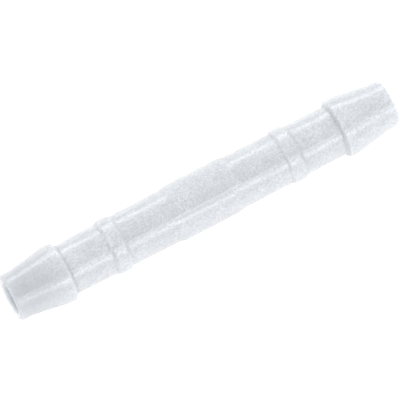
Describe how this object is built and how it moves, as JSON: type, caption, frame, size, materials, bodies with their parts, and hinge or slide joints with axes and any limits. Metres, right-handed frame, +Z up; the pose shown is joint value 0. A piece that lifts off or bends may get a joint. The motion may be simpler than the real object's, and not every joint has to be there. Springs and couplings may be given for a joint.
{
  "type": "barbed hose connector",
  "caption": "Straight double-ended hose connector in translucent plastic: a tube with a cone barb and a low second barb on each tail, and a raised grip band in the middle.",
  "frame": {"origin": "mid-length on the bore axis", "axes": "+X along the bore to one end, +Z up; the mould parting plane holds X and leans 27 degrees from +Z towards -Y"},
  "size_m": [0.0524, 0.0076, 0.0076],
  "materials": {
    "body": "translucent natural white, satin, as moulded"
  },
  "bodies": {
    "root": {"connector_body": "body"}
  },
  "joints": []
}
